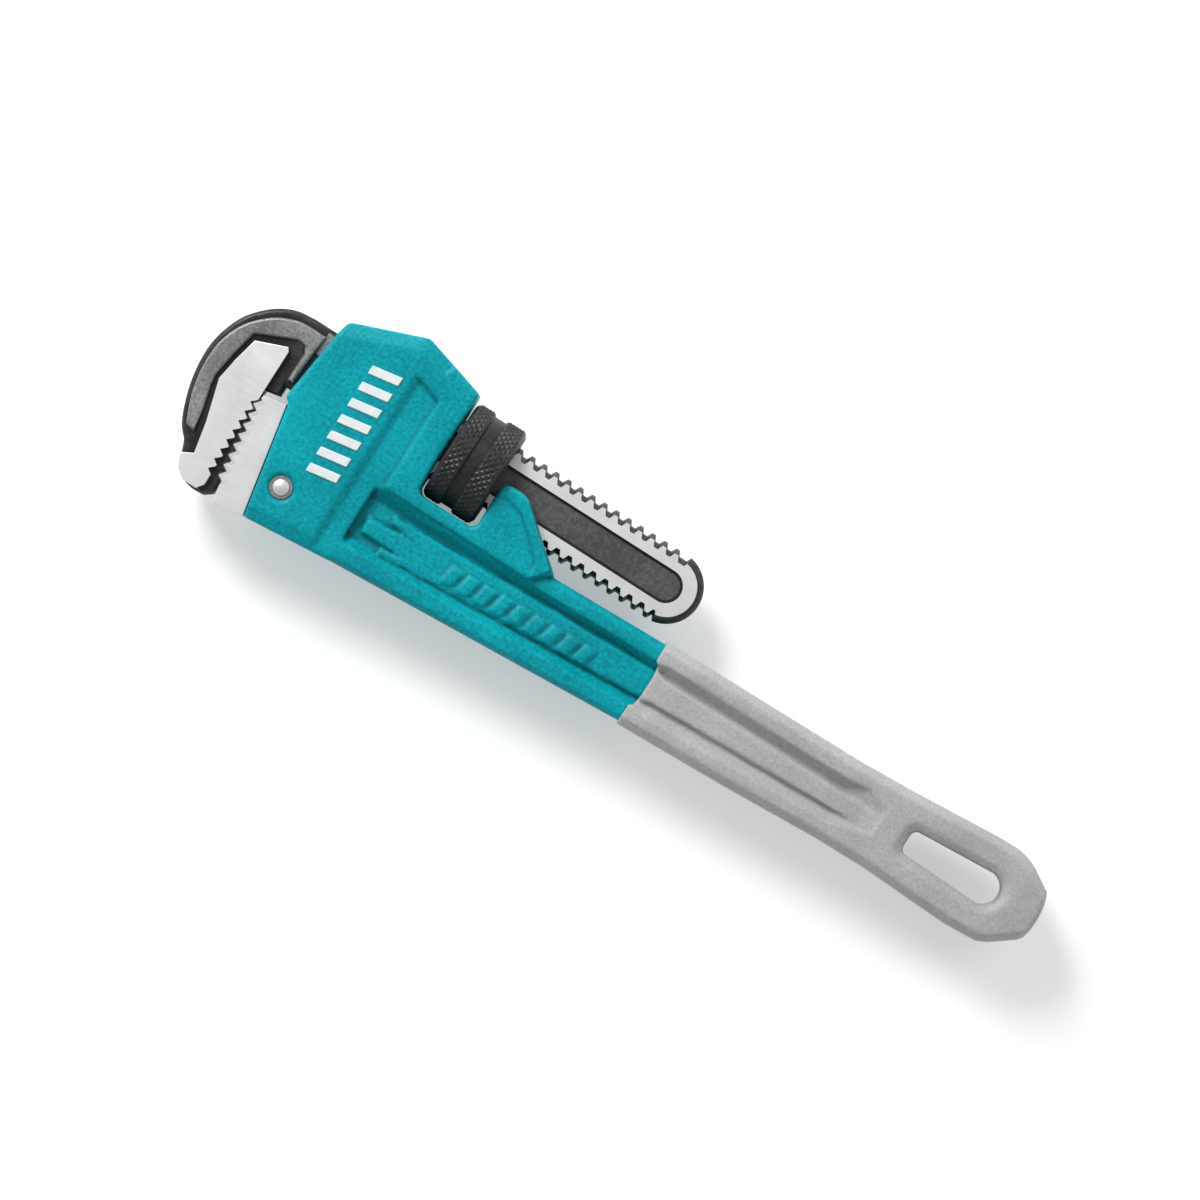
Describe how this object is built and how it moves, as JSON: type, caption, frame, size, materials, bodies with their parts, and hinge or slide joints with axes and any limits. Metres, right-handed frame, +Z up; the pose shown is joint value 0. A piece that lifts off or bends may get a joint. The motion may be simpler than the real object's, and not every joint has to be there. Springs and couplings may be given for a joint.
{
  "type": "pipe wrench",
  "caption": "Straight heavy-duty pipe wrench with a toothed hook jaw on a threaded shank, knurled adjusting nut, toothed heel jaw and coated I-beam handle.",
  "frame": {"origin": "middle of the bounding box in X and Y, at its bottom in Z, with the wrench lying on its side", "axes": "+X along the shank from the jaws to the handle's end, +Y towards the wrench's back (the nut side), +Z up through its thickness"},
  "size_m": [0.3024, 0.0768, 0.032],
  "materials": {
    "handle_body": "semi-gloss enamel on a cast surface",
    "handle_grip": "soft satin dip coat",
    "hook_jaw": "black oxide on forged steel, ground flats and teeth",
    "heel_jaw": "ground",
    "heel_jaw_pin": "bright, domed by riveting",
    "adjusting_nut": "black oxide, knurled",
    "leaf_spring": "spring steel",
    "spring_stud": "plain steel",
    "coil_spring": "spring wire"
  },
  "bodies": {
    "handle": {"handle_body": "handle_body", "handle_grip": "handle_grip", "heel_jaw": "heel_jaw", "heel_jaw_pin": "heel_jaw_pin", "coil_spring": "coil_spring"},
    "rocker": {"leaf_spring": "leaf_spring", "spring_stud": "spring_stud"},
    "hook": {"hook_jaw": "hook_jaw"},
    "nut": {"adjusting_nut": "adjusting_nut"}
  },
  "joints": [
    {"name": "jaw_rock", "type": "hinge", "parent": "handle", "child": "rocker", "pos_m": [-0.06484, 0, 0.016], "axis": [0, 0, 1], "range_deg": [-2, 0], "stiffness_Nm_per_rad": 6, "springref_deg": 1.15, "deforming": ["coil_spring"]},
    {"name": "jaw_travel", "type": "slide", "parent": "rocker", "child": "hook", "axis": [-1, 0, 0], "range_m": [0, 0.058]},
    {"name": "nut_spin", "type": "hinge", "parent": "rocker", "child": "nut", "pos_m": [-0.06484, 0.014, 0.016], "axis": [1, 0, 0], "range_deg": [-5, 4900]}
  ],
  "couplings": [
    {"joint": "nut_spin", "follows": "jaw_travel", "rad_per_m": 1461.2}
  ]
}
